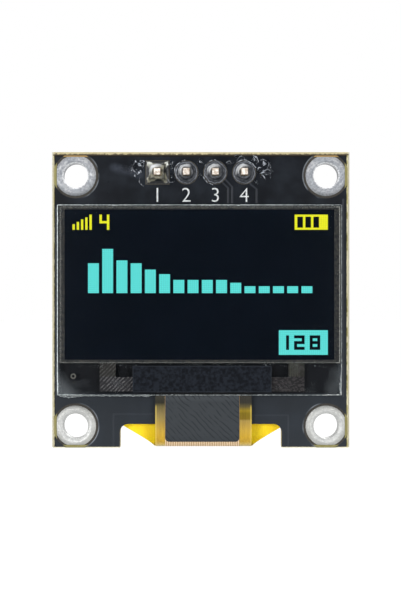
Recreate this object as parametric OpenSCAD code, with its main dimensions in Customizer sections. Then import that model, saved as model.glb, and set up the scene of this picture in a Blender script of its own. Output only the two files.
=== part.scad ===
// Small OLED display module: a glass panel taped to a black circuit board, a four-pin header
// soldered along the top edge, and a ribbon that folds through a notch in the bottom edge
// and is soldered to the board's back, among the power and reset parts.
//
// Every piece is drawn with the board flat and the screen up, and stood upright at the end:
// X to the right, Z up the screen, and the screen looks towards -Y.
// The origin is the middle of the four mounting holes, on the front face of the board's core.

/* [Board] */
// Mounting holes, centre to centre, across
hole_pitch_x = 22; // [21:0.5:25]
// Mounting holes, centre to centre, up
hole_pitch_y = 22; // [21:0.5:25]
// Mounting hole centre to the side edge
hole_to_side = 2.1; // [2:0.05:3]
// Mounting hole centre to the top edge
hole_to_top = 2.1; // [2:0.05:3]
// Mounting hole centre to the bottom edge
hole_to_bottom = 1.9; // [1.85:0.05:3]
// Thickness of the bare core
board_t = 1.2; // [0.8:0.1:1.6]
// Width of the scored and snapped bevel on the side and top edges
score_w = 0.2; // [0.1:0.02:0.3]
// Depth of the score from each face
score_depth = 0.35; // [0.2:0.05:0.38]
// Thickness of the black solder mask
mask_t = 0.03; // [0.02:0.005:0.035]
// Bare strip between the mask and the top edge
mask_back_top = 0.32; // [0.1:0.02:0.5]
// Bare strip between the mask and the bottom edge
mask_back_bottom = 0.08; // [0.04:0.02:0.2]
// Bare ring between a header pad or part land and the mask round it
mask_gap = 0.06; // [0.04:0.01:0.15]

/* [Mounting holes] */
// Bore of a plated mounting hole
hole_d = 2.2; // [2:0.05:2.5]
// Wall of the plating in every hole
plating_wall = 0.05; // [0.03:0.01:0.08]
// Outside diameter of the tinned ring
ring_d = 3.6; // [3:0.1:3.8]
// Height of the ring's domed solder above the board
ring_rise = 0.1; // [0.06:0.01:0.2]
// Hole centre to the flats on the ring's two outer sides
ring_flat = 1.63; // [1.4:0.01:1.75]
// Bare ring between the tinned ring and the mask round it
ring_mask_gap = 0.2; // [0.1:0.02:0.3]

/* [Notch] */
// Width of the notch in the bottom edge
notch_w = 14.2; // [11:0.2:15]
// Depth of the notch
notch_depth = 2.08; // [1.9:0.02:3]
// Radius of the notch's inner corners
notch_r = 0.72; // [0.3:0.02:1]

/* [Glass panel] */
// Top edge of the board down to the top of the glass
glass_drop = 4.73; // [4:0.01:5.5]
// Panel set to the right of the board's centre line
panel_shift = -0.12; // [-0.2:0.01:0.2]
// Width of the front glass
glass_w = 24.8; // [23.6:0.1:25.4]
// Height of the front glass, with its ledge
glass_h = 16.6; // [15.6:0.05:16.9]
// Thickness of the front glass
front_glass_t = 0.5; // [0.4:0.05:0.7]
// Thickness of the rear glass
rear_glass_t = 0.5; // [0.4:0.05:0.7]
// Height of the ledge that the front glass keeps below the rear glass
ledge_h = 2.83; // [2.6:0.01:3.2]
// Rear glass set in from the front glass on its other three sides
rear_inset = 0.1; // [0:0.02:0.2]
// Thickness of the sealing bead between the two glasses
seal_t = 0.06; // [0.055:0.005:0.1]
// Margin of the front glass at each side of the dark window
window_margin = 0.64; // [0.5:0.02:0.9]
// Top of the glass down to the top of the window
window_drop = 0.4; // [0.4:0.02:0.6]
// Ledge up to the bottom of the window
window_foot = 0.26; // [0.2:0.02:0.5]
// Thickness of the dark electrode film
film_t = 0.03; // [0.02:0.005:0.03]
// Thickness of the lit cells in front of the film
cell_t = 0.02; // [0.01:0.005:0.02]
// Thickness of the polarizer on the front
polarizer_t = 0.2; // [0.1:0.02:0.25]
// Polarizer set in from the edges of the glass
polarizer_inset = 0.2; // [0.1:0.02:0.4]
// Thickness of the double-sided tape under the panel
tape_t = 0.25; // [0.15:0.05:0.4]
// Tape set in from the edges of the rear glass
tape_inset = 1; // [0.2:0.1:1.5]
// Depth of the pocket etched in the rear glass
pocket_depth = 0.3; // [0.2:0.02:0.32]
// Rim of the rear glass left round the pocket
pocket_rim = 1.4; // [1:0.1:2]
// Thickness of the drying sheet in the pocket
desiccant_t = 0.15; // [0.08:0.01:0.18]
// Clearance round the drying sheet
desiccant_gap = 0.5; // [0.2:0.1:1]

/* [Ledge] */
// Driver, light shield and contact patches set to the right of the panel's centre line
driver_shift = 0.23; // [-0.3:0.01:0.3]
// Length of the driver chip
chip_w = 10.5; // [8:0.1:11]
// Height of the driver chip, up the ledge
chip_h = 0.9; // [0.7:0.05:1]
// Thickness of the driver chip
chip_t = 0.3; // [0.2:0.02:0.35]
// Gap between the ribbon's bonded end and the driver chip
chip_gap = 0.2; // [0.1:0.05:0.3]
// Width of the light shield over the chip
shield_w = 12.05; // [11.2:0.05:12.5]
// Light shield above the bottom of the glass
shield_up = 0.3; // [0.1:0.02:0.4]
// Gap between the light shield and the polarizer
shield_gap = 0.23; // [0.1:0.01:0.4]
// Thickness of the light shield
shield_t = 0.05; // [0.03:0.01:0.08]
// Width of a metal contact patch beside the shield
contact_w = 2.9; // [2:0.1:3]
// Contact patches above the bottom of the glass
contact_up = 0.33; // [0.1:0.01:0.5]
// Width of the step cut from a patch's inner top corner
contact_step_w = 1.5; // [1:0.05:1.7]
// Height of that step
contact_step_h = 1.25; // [1:0.05:1.6]
// Thickness of the contact metal
contact_t = 0.01; // [0.005:0.005:0.02]
// Outside diameter of the alignment ring on the ledge
fiducial_d = 0.48; // [0.3:0.02:0.6]
// Line width of the alignment ring
fiducial_line = 0.12; // [0.08:0.01:0.14]
// Alignment ring in from the side of the glass
fiducial_in = 1.41; // [1:0.01:2]
// Alignment ring up from the bottom of the glass
fiducial_up = 1.66; // [1:0.01:2]

/* [Lit picture] */
// First column in from the left of the window
column_in = 2.05; // [1:0.01:2.4]
// Last column in from the right of the window
column_out = 1.92; // [1:0.01:2.4]
// Bottom of the columns above the bottom of the window
column_base = 5.81; // [4.5:0.01:6.5]
// Width of a column
column_w = 0.95; // [0.7:0.01:1]
// Width of the lit label plate
plate_w = 4.27; // [3:0.01:5]
// Height of the lit label plate
plate_h = 2.15; // [1.5:0.01:3]
// Label plate and battery in from the right of the window
picture_in = 0.57; // [0.4:0.01:1]
// Label plate above the bottom of the window
plate_up = 0.43; // [0.2:0.01:1]
// Top of the battery and the signal bars below the top of the window
icon_drop = 0.46; // [0.2:0.01:0.8]
// Height of the battery
battery_h = 1.32; // [1:0.01:1.6]
// Width of the battery
battery_w = 2.89; // [2.5:0.01:3.2]
// Number of dark cells in the battery
battery_cells = 3; // [1:1:3]
// Height of a dark cell in the battery
battery_cell_h = 0.96; // [0.6:0.01:0.98]
// Width of a dark cell in the battery
battery_cell_w = 0.49; // [0.3:0.01:0.5]
// Spacing of the dark cells
battery_cell_pitch = 0.7; // [0.6:0.01:0.75]
// First dark cell in from the left of the battery
battery_cell_in = 0.23; // [0.1:0.01:0.3]
// First signal bar in from the left of the window
signal_in = 0.7; // [0.3:0.01:0.8]
// Width of a signal bar
signal_w = 0.2; // [0.1:0.01:0.3]
// Spacing of the signal bars
signal_pitch = 0.37; // [0.34:0.01:0.45]

/* [Header] */
// Pin spacing
pin_pitch = 2.54; // [2.5:0.02:2.6]
// Number of pins
pin_count = 4; // [3:1:7]
// Side of a square pin
pin_w = 0.64; // [0.5:0.01:0.66]
// Top edge of the board down to the pin row
pin_drop = 1.83; // [1.7:0.01:2.2]
// Height of the cut pin ends above the front pads
pin_front = 0.96; // [0.8:0.02:1.5]
// Bevel that the cutter leaves round a pin's front end
pin_cut_bevel = 0.05; // [0.02:0.01:0.1]
// Length of the pins behind the housing
pin_back = 6; // [5:0.5:12]
// Length of the taper at the free end of a pin
pin_taper = 0.6; // [0.3:0.1:1]
// Side of a pin at its very end
pin_end_w = 0.3; // [0.2:0.05:0.4]
// Thickness of the header housing, along the pins
housing_t = 2.54; // [2:0.02:3]
// Width of the header housing, across the row
housing_w = 2.5; // [2.2:0.05:2.6]
// Chamfer on the corners of each cell of the housing
housing_chamfer = 0.45; // [0.2:0.05:0.6]
// Width of the relief under the housing
relief_w = 1.4; // [1:0.1:1.6]
// Depth of the relief under the housing
relief_depth = 0.2; // [0.1:0.05:0.4]
// Clearance between a pin's corners and its plated hole
pin_hole_gap = 0.05; // [0.04:0.01:0.1]
// Diameter of a header pad, and side of the first one
pad_d = 2; // [1.7:0.05:2.2]
// Thickness of the tinned copper pads
land_t = 0.04; // [0.036:0.002:0.06]
// Thickness of the solder collar that climbs the pin
collar_t = 0.12; // [0.06:0.01:0.2]
// Height of the straight part of the collar, above the fillet
collar_h = 0.1; // [0.04:0.01:0.15]

/* [Ribbon] */
// Thickness of the ribbon
flex_t = 0.1; // [0.06:0.01:0.14]
// Width of the ribbon's neck
neck_w = 8.4; // [7:0.1:9]
// Ribbon set to the right of the board's centre line
flex_shift = 0.23; // [-0.4:0.01:0.4]
// Length of the ribbon bonded under the ledge
bond_l = 1; // [0.8:0.05:1.1]
// Bottom of the fold above the bottom edge of the board
fold_up = 0.1; // [0:0.02:0.3]
// End of the ribbon's flare in from the side of its head
flare_in = 1.5; // [0.5:0.1:3]
// Height of the flare above the bottom of the fold
flare_h = 2.22; // [1.6:0.02:2.6]
// Margin of the ribbon's soldered head outside its outer fingers
head_margin = 0.34; // [0.1:0.02:0.6]
// Height of the soldered head
head_h = 1.4; // [1.1:0.05:1.6]
// Bottom of the head above the bottom edge of the board
head_up = 3.75; // [3.6:0.05:4.2]
// Number of soldered fingers
finger_count = 30; // [24:1:30]
// Spacing of the fingers
finger_pitch = 0.62; // [0.55:0.01:0.62]
// Width of a finger's land
finger_w = 0.34; // [0.25:0.01:0.4]
// Length of a land left bare beyond the ribbon's head
finger_bare = 0.6; // [0.4:0.05:0.9]
// Length of solder that laps onto the ribbon
finger_lap = 0.5; // [0.3:0.05:0.7]
// Height of the solder on a finger
finger_solder_t = 0.09; // [0.05:0.01:0.15]
// Width of the dark cover patch on the ribbon
cover_w = 6.45; // [5:0.05:6.8]
// Cover patch set to the left of the ribbon's centre line
cover_shift = 0.1; // [0:0.02:0.15]
// Thickness of the cover patch
cover_t = 0.05; // [0.03:0.01:0.08]
// Bottom of the cover patch above the bottom of the fold
cover_up = 0.5; // [0.2:0.02:0.9]
// Radius of the cover patch's bottom corners
cover_r = 0.35; // [0.1:0.05:0.6]

/* [Back parts] */
// Length of a chip resistor or capacitor
part_l = 1.6; // [1.5:0.05:1.8]
// Width of a chip resistor or capacitor
part_w = 0.8; // [0.7:0.05:0.9]
// Height of a chip capacitor
capacitor_t = 0.8; // [0.6:0.05:0.9]
// Height of a chip resistor
resistor_t = 0.45; // [0.35:0.05:0.6]
// Length of a metal end
end_l = 0.35; // [0.25:0.05:0.45]
// How far the metal ends stand proud of the body
end_proud = 0.02; // [0.01:0.01:0.04]
// Radius on the long edges of a chip part
part_r = 0.07; // [0.03:0.01:0.1]
// Reach of the solder fillets beyond the metal ends
toe = 0.25; // [0.15:0.05:0.3]
// Ribbon lands up to the middle of the first row of parts
parts_up = 2.1; // [1.9:0.05:2.4]
// Length of the regulator's body
regulator_l = 2.9; // [2.8:0.02:3]
// Width of the regulator's body
regulator_w = 1.3; // [1.2:0.02:1.4]
// Height of the regulator
regulator_t = 1.1; // [1:0.05:1.2]
// Spacing of the regulator's outer leads
regulator_pitch = 1.9; // [1.8:0.02:2]
// Length of the diode's body
diode_l = 1.7; // [1.6:0.05:1.8]
// Width of the diode's body
diode_w = 1.25; // [1.1:0.05:1.4]
// Height of the diode
diode_t = 0.9; // [0.8:0.05:1]
// Height of the moulded bodies above the board
body_stand = 0.08; // [0.06:0.01:0.15]
// Width of a formed lead
lead_w = 0.4; // [0.3:0.02:0.5]
// Thickness of a formed lead
lead_t = 0.12; // [0.08:0.01:0.15]
// Outer radius of a formed lead's bends
lead_bend = 0.18; // [0.16:0.01:0.2]
// Reach of a formed lead beyond its body
lead_reach = 0.55; // [0.5:0.05:0.65]
// Length of a formed lead's foot
lead_foot = 0.3; // [0.2:0.05:0.4]
// Slope of the moulded bodies' sides, in degrees
draft = 7; // [2:1:10]

/* [Hidden] */
$fn = 64;
// Clearance between pieces that fit inside one another
fit_gap = 0.01;
// Overrun of a cut beyond the face that it opens
over = 0.5;

// Heights of the column and signal pictures, left to right
column_heights = [2.6, 3.85, 2.85, 2.6, 2.05, 1.65, 1.15, 1.15, 1.15, 1.15, 0.9,
    0.6, 0.6, 0.6, 0.6, 0.6];
signal_heights = [0.48, 0.68, 0.9, 1.08, 1.32];

// Back parts as [x, y, on end], from the middle of the board and up from the first row
capacitor_spots = [[-8, 0, true], [-6, 0, true], [-4, 0, true], [-2, 0, true],
    [4, 0, true], [8, 3.9, false], [8, 11.4, false]];
resistor_spots = [[0, 0, true], [2, 0, true], [-8, 3.6, false], [-8, 5.4, false],
    [-8, 7.2, false], [-2, 10.8, false], [3, 10.8, false]];
regulator_spot = [8, 7.65, false];
diode_spot = [0, 6, false];

// Board edges, seen from the front
side_x = hole_pitch_x / 2 + hole_to_side;
top_y = hole_pitch_y / 2 + hole_to_top;
bottom_y = -hole_pitch_y / 2 - hole_to_bottom;
board_h = top_y - bottom_y;
mid_y = (top_y + bottom_y) / 2;
hole_spots = [for (up = [1, -1], side = [-1, 1])
    [side * hole_pitch_x / 2, up * hole_pitch_y / 2]];
back_z = -board_t;

// Heights in the panel's stack, all above the core's front face
rear_glass_z = mask_t + tape_t;
seal_z = rear_glass_z + rear_glass_t;
front_glass_z = seal_z + seal_t;
glass_face_z = front_glass_z + front_glass_t;

// Edges in the panel
glass_top = top_y - glass_drop;
glass_bottom = glass_top - glass_h;
ledge_y = glass_bottom + ledge_h;
window_w = glass_w - 2 * window_margin;
window_top = glass_top - window_drop;
window_bottom = ledge_y + window_foot;
contact_in = shield_w / 2;

// Header
pin_y = top_y - pin_drop;
pins_x = [for (i = [0:pin_count - 1]) (i - (pin_count - 1) / 2) * pin_pitch];
pin_diagonal = pin_w * sqrt(2);
pin_hole_d = pin_diagonal + 2 * pin_hole_gap;
pad_front_z = land_t;
pad_back_z = back_z - land_t;
housing_back_z = pad_back_z - housing_t;
collar_d = pin_diagonal + 2 * collar_t;
fillet_r = (pad_d - collar_d) / 2;

// Ribbon: an outer radius that runs from the glass's rear face to the lands on the back
flex_back_z = pad_back_z - flex_t;
fold_r = (front_glass_z - flex_back_z) / 2;
fold_z = (front_glass_z + flex_back_z) / 2;
fold_bottom = bottom_y + fold_up;
fold_y = fold_bottom + fold_r;
head_bottom = bottom_y + head_up;
head_top = head_bottom + head_h;
head_w = (finger_count - 1) * finger_pitch + finger_w + 2 * head_margin;
lands_top = head_top + finger_bare;
fingers_x = [for (i = [0:finger_count - 1])
    flex_shift + (i - (finger_count - 1) / 2) * finger_pitch];

// Chip parts
land_l = end_l + toe;
regulator_leads = [[-regulator_pitch / 2, -1], [regulator_pitch / 2, -1], [0, 1]];

// ---- Shared shapes ----

module slab(z, t) {
    translate([0, 0, z]) linear_extrude(t) children();
}

// A rectangle by its edges
module edges(left, right, bottom, top) {
    translate([left, bottom]) square([right - left, top - bottom]);
}

// A rectangle about the origin with round corners
module round_rect(w, h, r) {
    square([w - 2 * r, h], center = true);
    square([w, h - 2 * r], center = true);
    for (x = [-1, 1], y = [-1, 1])
        translate([x * (w / 2 - r), y * (h / 2 - r)]) circle(r);
}

// A profile drawn as [y, z] and run along X, about x = 0
module along_x(length) {
    rotate([90, 0, 90]) translate([0, 0, -length / 2]) linear_extrude(length) children();
}

// Everything at a part's spot on the back of the board, with its own Z away from the board
module on_back(spot) {
    translate([spot[0], lands_top + parts_up + spot[1], back_z])
        rotate([180, 0, 0]) rotate([0, 0, spot[2] ? 90 : 0]) children();
}

// Stands the flat module upright
module upright() {
    rotate([90, 0, 0]) children();
}

// ---- Circuit board ----

// The notch that the ribbon folds through, open at the bottom edge
module notch_shape() {
    top = bottom_y + notch_depth;
    edges(-notch_w / 2, notch_w / 2, bottom_y - over, top - notch_r);
    edges(notch_r - notch_w / 2, notch_w / 2 - notch_r, bottom_y - over, top);
    for (side = [-1, 1])
        translate([side * (notch_w / 2 - notch_r), top - notch_r]) circle(notch_r);
}

// A wedge off each face along one scored edge; x = 0 is the edge and -X is into the board
module score_wedges(length) {
    for (face = [0, 1])
        translate([0, 0, face * back_z]) mirror([0, 0, face])
            rotate([90, 0, 0]) translate([0, 0, -length / 2]) linear_extrude(length)
                polygon([[-score_w, 0], [-score_w, over], [over, over], [over, -score_depth],
                    [0, -score_depth]]);
}

module circuit_board() {
    color("#b9ae7c") difference() {
        slab(back_z, board_t) difference() {
            edges(-side_x, side_x, bottom_y, top_y);
            notch_shape();
            for (spot = hole_spots)
                translate(spot) circle(hole_d / 2 + plating_wall + fit_gap);
            for (x = pins_x)
                translate([x, pin_y]) circle(pin_hole_d / 2 + plating_wall + fit_gap);
        }
        translate([side_x, mid_y, 0]) score_wedges(board_h + 2 * over);
        translate([-side_x, mid_y, 0]) mirror([1, 0, 0]) score_wedges(board_h + 2 * over);
        translate([0, top_y, 0]) rotate(90) score_wedges(2 * side_x + 2 * over);
    }
}

// Mask outline with the openings that both faces share
module mask_shape() {
    difference() {
        edges(-side_x + score_w, side_x - score_w, bottom_y + mask_back_bottom,
            top_y - mask_back_top);
        notch_shape();
        for (spot = hole_spots)
            translate(spot) circle(ring_d / 2 + ring_mask_gap);
        translate([pins_x[0], pin_y])
            square(pad_d + 2 * mask_gap, center = true);
        for (i = [1:pin_count - 1])
            translate([pins_x[i], pin_y]) circle(pad_d / 2 + mask_gap);
    }
}

module front_solder_mask() {
    color("#2e3034") slab(0, mask_t) mask_shape();
}

module back_solder_mask() {
    color("#2e3034") difference() {
        slab(back_z - mask_t, mask_t) difference() {
            mask_shape();
            edges(fingers_x[0] - finger_w, fingers_x[finger_count - 1] + finger_w,
                head_bottom + finger_lap, lands_top + mask_gap);
        }
        every_land(mask_gap);
    }
}

// ---- Plated holes ----

// Ring and barrel of one mounting hole; the rings are domed and cut flat beside the edges
module mounting_hole_plating(spot) {
    bore = hole_d / 2;
    rim = ring_d / 2;
    dome_r = ((rim - bore) * (rim - bore) / 4 + ring_rise * ring_rise) / (2 * ring_rise);
    color("silver") translate([spot[0], spot[1], 0]) intersection() {
        rotate_extrude() {
            translate([bore, back_z]) square([plating_wall, board_t]);
            for (face = [0, 1])
                translate([0, face * back_z]) mirror([0, face]) intersection() {
                    translate([(bore + rim) / 2, ring_rise - dome_r]) circle(dome_r);
                    translate([bore, 0]) square([rim - bore, ring_rise]);
                }
        }
        slab(back_z - over, board_t + 2 * over)
            translate([sign(spot[0]), sign(spot[1])] * (ring_flat - ring_d))
                square(2 * ring_d, center = true);
    }
}

module header_pad(first) {
    if (first) square(pad_d, center = true);
    else circle(pad_d / 2);
}

module header_hole_plating() {
    color("silver") for (i = [0:pin_count - 1]) translate([pins_x[i], pin_y, 0]) {
        difference() {
            union() {
                slab(pad_back_z, land_t) header_pad(i == 0);
                slab(back_z, board_t) circle(pin_hole_d / 2 + plating_wall);
                slab(0, land_t) header_pad(i == 0);
            }
            slab(pad_back_z - over, board_t + 2 * over) circle(pin_hole_d / 2);
        }
    }
}

// ---- Header ----

module header_housing() {
    across_chamfers = (pin_pitch + housing_w - 2 * housing_chamfer) / sqrt(2);
    color("#1d1d1f") translate([0, pin_y, 0]) difference() {
        slab(housing_back_z, housing_t) for (x = pins_x) translate([x, 0]) difference() {
            intersection() {
                square([pin_pitch, housing_w], center = true);
                rotate(45) square(across_chamfers, center = true);
            }
            square(pin_w + 2 * fit_gap, center = true);
        }
        translate([0, 0, pad_back_z + over - relief_depth])
            cube([pin_count * pin_pitch + over, relief_w, 2 * over], center = true);
    }
}

// Square pin: cut off in front of the board and tapered to a blunt point at the back
module header_pin(x) {
    front = pad_front_z + pin_front;
    back = housing_back_z - pin_back;
    color("#d9c78a") translate([x, pin_y, 0]) intersection_for(turn = [0, 90])
        rotate(turn) rotate([90, 0, 0]) translate([0, 0, -pin_w / 2]) linear_extrude(pin_w)
            polygon([[pin_cut_bevel - pin_w / 2, front], [pin_w / 2 - pin_cut_bevel, front],
                [pin_w / 2, front - pin_cut_bevel], [pin_w / 2, back + pin_taper],
                [pin_end_w / 2, back], [-pin_end_w / 2, back],
                [-pin_w / 2, back + pin_taper], [-pin_w / 2, front - pin_cut_bevel]]);
}

// Solder that fills a plated hole and climbs its pin in a hollow fillet.
// The first pad is square, so its fillet is cut by four straight hollows in place of a ring.
module solder_joint(x, first) {
    top = pad_front_z + fillet_r + collar_h;
    color("#9a9c9e") translate([x, pin_y, 0]) difference() {
        union() {
            slab(back_z, board_t + land_t + collar_h) circle(pin_hole_d / 2 - fit_gap);
            difference() {
                slab(pad_front_z, top - pad_front_z) header_pad(first);
                if (first)
                    for (turn = [0:90:270]) rotate(turn) square_hollow(top);
                else
                    round_hollow(top);
            }
        }
        slab(back_z - over, board_t + top + 2 * over)
            square(pin_w + 2 * fit_gap, center = true);
    }
}

module round_hollow(top) {
    translate([0, 0, pad_front_z]) rotate_extrude() hollow_profile(top - pad_front_z);
}

module square_hollow(top) {
    translate([0, 0, pad_front_z]) rotate([90, 0, 0]) translate([0, 0, -pad_d])
        linear_extrude(2 * pad_d) hollow_profile(top - pad_front_z);
}

// Section of what is cut away beside a fillet, to the right of the pin
module hollow_profile(rise) {
    translate([pad_d / 2, fillet_r]) circle(fillet_r);
    edges(pad_d / 2 - fillet_r, pad_d, fillet_r, rise + over);
}

// ---- Glass panel ----

module panel_tape() {
    color("#3b3b3b") slab(mask_t, tape_t) rear_glass_shape(tape_inset);
}

module rear_glass_shape(inset) {
    edges(-glass_w / 2 + rear_inset + inset, glass_w / 2 - rear_inset - inset,
        ledge_y + inset, glass_top - rear_inset - inset);
}

module rear_glass() {
    color("#9fb5b5") difference() {
        slab(rear_glass_z, rear_glass_t) rear_glass_shape(0);
        slab(seal_z - pocket_depth, pocket_depth + over) rear_glass_shape(pocket_rim);
    }
}

module drying_sheet() {
    color("white") slab(seal_z - pocket_depth, desiccant_t)
        rear_glass_shape(pocket_rim + desiccant_gap);
}

module window_shape(gap) {
    edges(-window_w / 2 + gap, window_w / 2 - gap, window_bottom + gap, window_top - gap);
}

module sealing_bead() {
    color("#4c4a42") slab(seal_z, seal_t) difference() {
        rear_glass_shape(0);
        window_shape(0);
    }
}

module electrode_film() {
    color("#0b0f16") slab(front_glass_z - cell_t - film_t, film_t) window_shape(fit_gap);
}

module blue_cells() {
    left = column_in - window_w / 2;
    columns = len(column_heights);
    column_pitch = (window_w - column_in - column_out - column_w) / (columns - 1);
    base = window_bottom + column_base;
    right = window_w / 2 - picture_in;
    foot = window_bottom + plate_up;
    color("#5ce2dd") slab(front_glass_z - cell_t, cell_t) {
        for (i = [0:columns - 1]) translate([left + i * column_pitch, base])
            square([column_w, column_heights[i]]);
        edges(right - plate_w, right, foot, foot + plate_h);
    }
}

module yellow_cells() {
    top = window_top - icon_drop;
    right = window_w / 2 - picture_in;
    color("#efef1f") slab(front_glass_z - cell_t, cell_t) {
        for (i = [0:len(signal_heights) - 1])
            translate([signal_in - window_w / 2 + i * signal_pitch, top - battery_h])
                square([signal_w, signal_heights[i]]);
        difference() {
            edges(right - battery_w, right, top - battery_h, top);
            for (i = [0:battery_cells - 1])
                translate([right - battery_w + battery_cell_in + i * battery_cell_pitch,
                    top - (battery_h + battery_cell_h) / 2])
                    square([battery_cell_w, battery_cell_h]);
        }
    }
}

// L-shaped contact areas either side of the driver, and an alignment ring, behind the ledge
module contact_metal() {
    color("#6f6c69") slab(front_glass_z - contact_t, contact_t) {
        for (side = [0, 1]) translate([driver_shift, 0]) mirror([side, 0]) difference() {
            edges(contact_in, contact_in + contact_w, glass_bottom + contact_up, ledge_y);
            edges(contact_in - over, contact_in + contact_step_w, ledge_y - contact_step_h,
                ledge_y + over);
        }
        translate([fiducial_in - glass_w / 2, glass_bottom + fiducial_up]) difference() {
            circle(fiducial_d / 2);
            circle(fiducial_d / 2 - fiducial_line);
        }
    }
}

module front_glass() {
    color("#a9bfc6") slab(front_glass_z, front_glass_t)
        edges(-glass_w / 2, glass_w / 2, glass_bottom, glass_top);
}

module polarizer() {
    color("#20242b") slab(glass_face_z, polarizer_t)
        edges(-glass_w / 2 + polarizer_inset, glass_w / 2 - polarizer_inset, ledge_y,
            glass_top - polarizer_inset);
}

// Bare silicon bonded behind the ledge, between the rear glass and the ribbon
module driver_chip() {
    bottom = glass_bottom + bond_l + chip_gap;
    color("#4d5560") slab(front_glass_z - chip_t, chip_t)
        edges(driver_shift - chip_w / 2, driver_shift + chip_w / 2, bottom, bottom + chip_h);
}

module light_shield() {
    color("#1c1f28") slab(glass_face_z, shield_t)
        edges(driver_shift - shield_w / 2, driver_shift + shield_w / 2,
            glass_bottom + shield_up, ledge_y - shield_gap);
}

// ---- Ribbon ----

// Section of a layer that follows the ribbon, from one radius of the fold to another.
// The front run hangs from the glass and the back run lies along the board's lands.
module fold_section(inner, outer, front_top, back_top) {
    translate([fold_y, fold_z]) difference() {
        circle(outer);
        circle(inner);
        translate([0, -outer]) square(2 * outer);
    }
    edges(fold_y, front_top, fold_z + inner, fold_z + outer);
    edges(fold_y, back_top, fold_z - outer, fold_z - inner);
}

// Outline of the back of the ribbon: neck, flare, and the wide head that is soldered down
module back_outline() {
    half_neck = neck_w / 2;
    half_flare = head_w / 2 - flare_in;
    translate([flex_shift, 0]) {
        polygon([[-half_neck, fold_bottom - over], [half_neck, fold_bottom - over],
            [half_neck, fold_bottom], [half_flare, fold_bottom + flare_h],
            [half_flare, head_top], [-half_flare, head_top],
            [-half_flare, fold_bottom + flare_h], [-half_neck, fold_bottom]]);
        edges(-head_w / 2, head_w / 2, head_bottom, head_top);
    }
}

module flex_circuit() {
    color("#d9a72b") intersection() {
        along_x(2 * side_x)
            fold_section(fold_r - flex_t, fold_r, glass_bottom + bond_l, head_top);
        union() {
            slab(fold_z, 2 * fold_r) translate([flex_shift, 0])
                edges(-neck_w / 2, neck_w / 2, fold_bottom - over, glass_bottom + bond_l);
            slab(fold_z - 2 * fold_r, 2 * fold_r) back_outline();
        }
    }
}

// Dark patch on the outside of the ribbon, from the glass into the fold
module flex_cover() {
    bottom = fold_bottom + cover_up;
    top = glass_bottom - 2 * fit_gap;
    color("#42474b") intersection() {
        along_x(2 * side_x) fold_section(fold_r, fold_r + cover_t, top, top);
        slab(fold_z, 2 * fold_r) translate([flex_shift - cover_shift, 0]) {
            edges(-cover_w / 2, cover_w / 2, bottom + cover_r, top);
            edges(cover_r - cover_w / 2, cover_w / 2 - cover_r, bottom, top);
            for (side = [-1, 1])
                translate([side * (cover_w / 2 - cover_r), bottom + cover_r])
                    circle(cover_r);
        }
    }
}

module flex_lands() {
    color("silver") slab(pad_back_z, land_t) for (x = fingers_x)
        edges(x - finger_w / 2, x + finger_w / 2, head_top - finger_lap, lands_top);
}

// Each finger's solder lies on its bare land and laps over the ribbon's end
module flex_solder() {
    bare_end = lands_top - fit_gap;
    top = flex_t + finger_solder_t;
    color("#b9bbbd") translate([0, 0, pad_back_z]) rotate([180, 0, 0]) for (x = fingers_x)
        translate([x, 0, 0]) along_x(finger_w - 2 * fit_gap) mirror([1, 0]) difference() {
            edges(head_top - finger_lap, bare_end, 0, top);
            edges(head_top - finger_lap - over, head_top + fit_gap, -over, flex_t);
            translate([bare_end, top]) circle(top - fit_gap);
            translate([head_top - finger_lap, top]) circle(finger_solder_t / 2);
        }
}

// ---- Back parts ----

// Lands, and the mask openings round them when they are grown
module chip_lands(grow) {
    for (side = [-1, 1]) translate([side * (part_l / 2 + toe - land_l / 2), 0])
        square([land_l + 2 * grow, part_w + 2 * end_proud + 2 * grow], center = true);
}

module lead_land(grow) {
    translate([0, lead_reach + (toe - lead_foot) / 2])
        square([lead_w + 2 * grow, lead_foot + toe + 2 * grow], center = true);
}

module every_land(grow) {
    depth = grow > 0 ? 2 * land_t : land_t;
    for (spot = concat(capacitor_spots, resistor_spots))
        on_back(spot) slab(0, depth) chip_lands(grow);
    on_back(regulator_spot) slab(0, depth) regulator_feet() lead_land(grow);
    on_back(diode_spot) slab(0, depth) diode_feet() lead_land(grow);
}

module part_lands() {
    color("silver") every_land(0);
}

// Hollow fillet: a right angle filled by solder, [reach, rise] drawn away from x = 0
module fillet_section(reach) {
    difference() {
        square([reach, reach]);
        translate([reach, reach]) circle(reach - fit_gap);
    }
}

module part_solder() {
    color("#b9bbbd") {
        for (spot = concat(capacitor_spots, resistor_spots))
            on_back(spot) for (side = [0, 1]) mirror([side, 0, 0])
                translate([part_l / 2 + end_proud, part_w / 2, land_t]) rotate([90, 0, 0])
                    linear_extrude(part_w) fillet_section(toe - end_proud);
        on_back(regulator_spot) regulator_feet() foot_solder();
        on_back(diode_spot) diode_feet() foot_solder();
    }
}

module foot_solder() {
    translate([-lead_w / 2, lead_reach, land_t]) rotate([90, 0, 90])
        linear_extrude(lead_w) fillet_section(lead_t);
}

module regulator_feet() {
    for (lead = regulator_leads)
        translate([lead[0], lead[1] * regulator_w / 2, 0])
            rotate(lead[1] > 0 ? 0 : 180) children();
}

module diode_feet() {
    for (turn = [-90, 90]) rotate(turn) translate([0, diode_l / 2, 0]) children();
}

// Ceramic block with wrapped metal ends, its long edges rounded
module chip_part(t) {
    middle = land_t + t / 2;
    translate([0, 0, middle]) rotate([90, 0, 90]) {
        slab(-part_l / 2 + end_l, part_l - 2 * end_l)
            round_rect(part_w, t - 2 * end_proud, part_r);
        for (from = [-part_l / 2 - end_proud, part_l / 2 - end_l])
            slab(from, end_l + end_proud)
                round_rect(part_w + 2 * end_proud, t, part_r + end_proud);
    }
}

module capacitor(spot) {
    color("#b08a5c") on_back(spot) chip_part(capacitor_t);
}

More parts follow.
